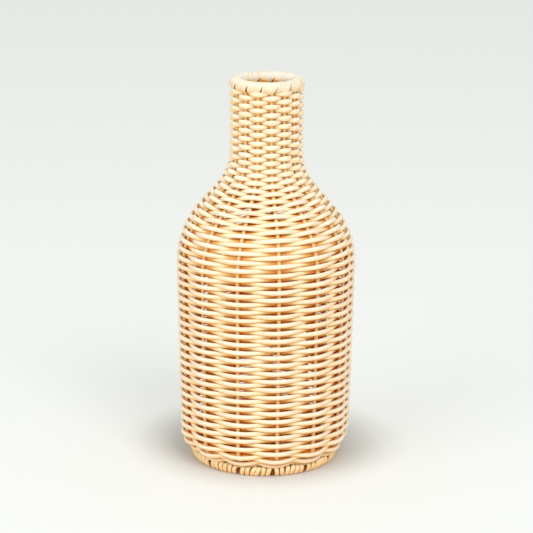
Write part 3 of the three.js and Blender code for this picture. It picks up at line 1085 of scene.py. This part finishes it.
@dataclass(frozen=True)
class RattanCore:
    """Peeled rattan core, drawn round through a die and left bare.

    The core is a bundle of long fibres, so its cream colour is streaked along the strand and its satin sheen
    is broken into fine lines. Where the weave would shade a strand, shade is painted into its colour: golden
    on its sides and honey deep in the weave.

    Attributes:
        pale: Colour of the lightest core.
        straw: Colour of the darkest core in the open.
        golden: Colour of painted shade on a strand's sides, where it is half shaded.
        honey: Colour of painted shade deep in the weave.
        fibre: Colour of the fibres' dark lines.
        sheen: Specular level of the bare surface.
        streak_width: Width of a streak. Single fibres are too fine to show in a picture of the whole vase,
            so the streaks are drawn as coarse as a bundle of three.
        streak_share: How much the streaks change the colour, from the streak level up.
        tone_share: How much a strand's own tone changes the colour.
        fibre_width: Width of a fibre, which shows close up.
        lines_from: Level of the fibres' pattern at which a dark line begins. It is at its full depth past
            the fade.
        line_detail: Steps of finer detail in both patterns.
        rough_change: How much smoother and rougher the fibres make the surface.
        bump_depth: Height of the fibres.
        half_painted_shade: Share of painted shade at which the colour is golden.
    """

    name: str
    pale: str = "#FCF4EA"
    straw: str = "#F4E3C8"
    golden: str = "#F7DA9A"
    honey: str = "#FF9C00"
    fibre: str = "#B98650"
    roughness: float = 0.5
    ior: float = 1.5
    sheen: float = 0.2
    streak_width: float = 0.9
    streak_length: float = 26.0
    streak_share: float = 0.9
    streak_level: float = -0.2
    tone_share: float = 0.55
    fibre_width: float = 0.28
    fibre_length: float = 12.0
    lines_from: float = 0.57
    lines_fade: float = 0.12
    lines_depth: float = 0.42
    line_detail: float = 2.0
    rough_change: float = 0.1
    bump_depth: float = 0.1
    bump_strength: float = 0.8
    half_painted_shade: float = 0.4

    def make(self) -> bpy.types.Material:
        """Mixes the finish.

        Returns:
            The material.
        """
        material = bpy.data.materials.new(self.name)
        tree = bare_tree(material)
        grain = add_node(tree, "ShaderNodeAttribute", {"attribute_name": "grain"}).outputs["Vector"]
        fibres = self._lines(tree, grain, self.fibre_length, self.fibre_width)
        colour = self._colour(tree, grain, fibres)
        rough = add_node(
            tree,
            "ShaderNodeMapRange",
            Value=fibres,
            To_Min=self.roughness - self.rough_change,
            To_Max=self.roughness + self.rough_change,
        )
        bump = add_node(
            tree, "ShaderNodeBump", Strength=self.bump_strength, Distance=self.bump_depth * MM, Height=fibres
        )
        shader = add_node(
            tree,
            "ShaderNodeBsdfPrincipled",
            Base_Color=colour,
            Roughness=rough.outputs[0],
            IOR=self.ior,
            Specular_IOR_Level=self.sheen,
            Normal=bump.outputs["Normal"],
        )
        add_node(tree, "ShaderNodeOutputMaterial", Surface=shader.outputs["BSDF"])
        return material

    def _colour(
        self, tree: bpy.types.NodeTree, grain: bpy.types.NodeSocket, fibres: bpy.types.NodeSocket
    ) -> bpy.types.NodeSocket:
        """Mixes the colour from the streaks, the strand's tone, the fibres' lines and the painted shade.

        Args:
            tree: The material's node tree.
            grain: Millimetres along, across and out of the strand.
            fibres: The fibres' pattern.

        Returns:
            The colour.
        """
        tone = add_node(tree, "ShaderNodeAttribute", {"attribute_name": "tone"}).outputs["Fac"]
        painted_shade = add_node(tree, "ShaderNodeAttribute", {"attribute_name": "painted_shade"}).outputs["Fac"]
        streaks = self._lines(tree, grain, self.streak_length, self.streak_width)
        scaled = {"operation": "MULTIPLY_ADD"}
        clamped = scaled | {"use_clamp": True}
        level = self.streak_level
        base = add_node(tree, "ShaderNodeMath", scaled, i0=streaks, i1=self.streak_share, i2=level)
        dark = add_node(tree, "ShaderNodeMath", clamped, i0=tone, i1=self.tone_share, i2=base.outputs[0])
        line = add_node(
            tree,
            "ShaderNodeMapRange",
            Value=fibres,
            From_Min=self.lines_from,
            From_Max=self.lines_from + self.lines_fade,
            To_Max=self.lines_depth,
        )
        # Painted shade: golden on a strand's half-shaded sides, honey deep in the weave.
        edge = add_node(tree, "ShaderNodeMapRange", Value=painted_shade, From_Max=self.half_painted_shade)
        deep = add_node(tree, "ShaderNodeMapRange", Value=painted_shade, From_Min=self.half_painted_shade)
        changes = ((dark, self.straw), (line, self.fibre), (edge, self.golden), (deep, self.honey))
        colour: bpy.types.NodeSocket | tuple[float, ...] = linear(self.pale)
        for change, towards in changes:
            share = change.outputs[0]
            mix = add_node(tree, "ShaderNodeMix", MIX_COLOURS, i0=share, i6=colour, i7=linear(towards))
            colour = mix.outputs[2]
        return colour

    def _lines(
        self, tree: bpy.types.NodeTree, grain: bpy.types.NodeSocket, length: float, width: float
    ) -> bpy.types.NodeSocket:
        """Draws lines along the strand.

        Args:
            tree: The material's node tree.
            grain: Millimetres along, across and out of the strand.
            length: How long a line runs before it fades, in millimetres.
            width: How wide a line is, in millimetres.

        Returns:
            A value from 0 to 1.
        """
        scale = (1 / length, 1 / width, 1 / width)
        stretched = add_node(tree, "ShaderNodeVectorMath", {"operation": "MULTIPLY"}, i0=grain, i1=scale)
        place, detail = stretched.outputs[0], self.line_detail
        noise = add_node(tree, "ShaderNodeTexNoise", Vector=place, Scale=1.0, Detail=detail)
        return noise.outputs["Fac"]


def seen_share(tree: bpy.types.NodeTree) -> bpy.types.NodeSocket:
    """Tells what the camera sees, straight or in a shiny or clear surface, from what only lights the vase.

    Args:
        tree: The node tree of a material or a world.

    Returns:
        1 where it is seen, and 0 for other light.
    """
    path = add_node(tree, "ShaderNodeLightPath").outputs
    largest = {"operation": "MAXIMUM"}
    mirrored = add_node(
        tree, "ShaderNodeMath", largest, i0=path["Is Glossy Ray"], i1=path["Is Transmission Ray"]
    )
    seen = add_node(tree, "ShaderNodeMath", largest, i0=path["Is Camera Ray"], i1=mirrored.outputs[0])
    return seen.outputs[0]


@dataclass(frozen=True)
class MattPaper:
    """Uncoated matt paper, without gloss: an even pale ground, with a painted shadow over the lamps' own
    under the vase.

    Attributes:
        pale: Colour of the glow that brightens the paper clear of the shadow.
        shade: Colour that the lamps light, which shows alone in the shadow.
        bounce: Colour of the light that it throws up on the vase.
        glow: Strength of the glow, which shows to the camera and in shiny or clear surfaces only.
        shade_from: Distance from the middle of the painted shadow at which it begins to clear.
        shade_to: Distance at which it is clear.
        shade_back: How far behind the vase's axis the middle of the painted shadow lies.
    """

    name: str = "pale_matt_paper"
    pale: str = "#EDEEEB"
    shade: str = "#C2C2BF"
    bounce: str = "#EDBD72"
    roughness: float = 0.9
    glow: float = 0.42
    shade_from: float = 50.0
    shade_to: float = 120.0
    shade_back: float = 28.0

    def make(self) -> bpy.types.Material:
        """Mixes the finish.

        Returns:
            The material.
        """
        material = bpy.data.materials.new(self.name)
        tree = bare_tree(material)
        seen = seen_share(tree)
        colour = add_node(
            tree, "ShaderNodeMix", MIX_COLOURS, i0=seen, i6=linear(self.bounce), i7=linear(self.shade)
        )
        # Painted shadow: the glow fades out towards a point behind the vase's axis.
        place = add_node(tree, "ShaderNodeNewGeometry").outputs["Position"]
        middle = (0.0, self.shade_back * MM, 0.0)
        reach = add_node(tree, "ShaderNodeVectorMath", {"operation": "DISTANCE"}, i0=place, i1=middle)
        clear = add_node(
            tree,
            "ShaderNodeMapRange",
            {"interpolation_type": "SMOOTHSTEP"},
            Value=reach.outputs["Value"],
            From_Min=self.shade_from * MM,
            From_Max=self.shade_to * MM,
            To_Max=self.glow,
        )
        glow = add_node(tree, "ShaderNodeMath", {"operation": "MULTIPLY"}, i0=seen, i1=clear.outputs[0])
        shader = add_node(
            tree,
            "ShaderNodeBsdfPrincipled",
            Base_Color=colour.outputs[2],
            Roughness=self.roughness,
            Emission_Color=linear(self.pale),
            Emission_Strength=glow.outputs[0],
        )
        add_node(tree, "ShaderNodeOutputMaterial", Surface=shader.outputs["BSDF"])
        return material


@dataclass(frozen=True)
class Softbox:
    """A square softbox that faces the middle of the vase."""

    name: str
    place: tuple[float, float, float]
    size: float
    watts: float
    aim_height: float = 150.0

    def hang(self) -> None:
        """Adds the lamp to the scene."""
        data = bpy.data.lights.new(self.name, "AREA")
        data.shape = "SQUARE"
        data.size = self.size * MM
        data.energy = self.watts
        lamp = add_object(self.name, data)
        lamp.location = Vector(self.place) * MM
        aim = Vector((0, 0, self.aim_height)) * MM - lamp.location
        lamp.rotation_euler = aim.to_track_quat("-Z", "Y").to_euler()


@dataclass(frozen=True)
class Studio:
    """A plain pale floor, soft light, and the camera where the photograph was taken from.

    Attributes:
        camera_distance: How far in front of the vase's axis the camera stands.
        camera_side: How far it stands to the right.
        camera_tilt: Degrees that it looks down.
        camera_roll: Degrees that it is turned about its line of sight.
        focal_pixels: Focal length in pixels of the photograph.
        view_reach: Distance that the camera sees.
        sky_light: Strength of the even light on the vase.
        backdrop: Strength of the backdrop that is seen.
    """

    floor_size: float = 12000.0
    paper: MattPaper = MattPaper()
    softboxes: tuple[Softbox, ...] = (
        Softbox("key_softbox", (1120, -2400, 2400), 1760, 56.5),
        Softbox("fill_softbox", (-2080, -2080, 1440), 2080, 36.5),
    )
    sky_colour: str = "#E8EEEC"
    sky_light: float = 0.79
    backdrop: float = 1.0
    camera_distance: float = 1662.0
    camera_height: float = 605.0
    camera_side: float = 0.8
    camera_tilt: float = 15.25
    camera_roll: float = 0.42
    focal_pixels: float = 2235.0
    picture_pixels: int = 533
    sensor: float = 36.0
    view_reach: float = 100000.0

    def build(self) -> None:
        """Makes the floor, the lights, the world and the camera."""
        self._floor()
        for softbox in self.softboxes:
            softbox.hang()
        self._world()
        self._camera()

    def _floor(self) -> None:
        """Lays the floor."""
        half = self.floor_size / 2 * MM
        corners = [(-half, -half, 0), (half, -half, 0), (half, half, 0), (-half, half, 0)]
        mesh = bpy.data.meshes.new("floor")
        mesh.from_pydata(corners, [], [(0, 1, 2, 3)])
        mesh.materials.append(self.paper.make())
        floor = add_object("floor", mesh)

    def _world(self) -> None:
        """Lights the studio evenly and shows a pale backdrop."""
        world = bpy.data.worlds.new("pale_studio")
        bpy.context.scene.world = world
        tree = bare_tree(world)
        seen, sky = seen_share(tree), linear(self.sky_colour)
        light = add_node(tree, "ShaderNodeBackground", Color=sky, Strength=self.sky_light)
        backdrop = add_node(tree, "ShaderNodeBackground", Color=sky, Strength=self.backdrop)
        mixed = add_node(tree, "ShaderNodeMixShader", i0=seen, i1=light.outputs[0], i2=backdrop.outputs[0])
        add_node(tree, "ShaderNodeOutputWorld", Surface=mixed.outputs[0])

    def _camera(self) -> None:
        """Sets up the camera at the photograph's angle."""
        data = bpy.data.cameras.new("photo_camera")
        data.sensor_width = self.sensor
        data.lens = self.sensor * self.focal_pixels / self.picture_pixels
        data.clip_end = self.view_reach * MM
        camera = add_object("photo_camera", data)
        camera.location = Vector((self.camera_side, -self.camera_distance, self.camera_height)) * MM
        camera.rotation_mode = "ZYX"
        camera.rotation_euler = (math.radians(90 - self.camera_tilt), 0, math.radians(self.camera_roll))
        bpy.context.scene.camera = camera


def main() -> None:
    """Builds the vase from its base up, dresses it and sets up the studio."""
    logging.basicConfig(level=logging.INFO, format="%(name)s: %(message)s")
    bpy.context.scene.view_settings.view_transform = "Standard"
    outline = WallOutline(StakePlan())
    # Core drawn round through a die: smooth and cream, with faint streaks and a satin sheen along it.
    weaver = RattanCore("die_drawn_rattan_core").make()
    # Stake core, coloured a shade darker than the strands as painted shade, since the stakes stand behind
    # them.
    stake = RattanCore("stake_core_painted_shade", pale="#EFD9AE", straw="#DDB87D").make()
    # Core bent into a hoop and coloured brown: painted shade in the slits of the band, where it shows.
    hoop = RattanCore("hoop_core_painted_shade", pale="#D8A45E", straw="#BF7F36").make()
    # Core pressed flat into a band: pale and dry, with its fibres lying open side by side. Their lines are
    # about 0.3 mm wide, and are drawn coarser here to show in a picture of the whole vase.
    band = RattanCore(
        "pressed_rattan_core",
        pale="#F1E9DB",
        straw="#E9DABE",
        streak_width=0.8,
        fibre_width=0.8,
        fibre_length=9.0,
        lines_from=0.54,
        lines_fade=0.18,
        lines_depth=0.45,
    ).make()
    # Foot hoop coloured dark brown: painted shade in the gaps between the loops of the foot.
    foot_hoop_shade = RattanCore("foot_hoop_core_painted_shade", pale="#8F6034", straw="#6B4423").make()
    # Core soaked and wound wet: smooth and warm, a shade more golden than the wall.
    lashing = RattanCore("soaked_rattan_core", pale="#FDF0DA", straw="#F5E0BA").make()
    Stakes(outline).build(stake)
    Weave(outline).build(weaver)
    Rim(outline).build(hoop, band)
    Foot(outline).build(foot_hoop_shade, lashing)
    Studio().build()


if __name__ == "__main__":
    main()
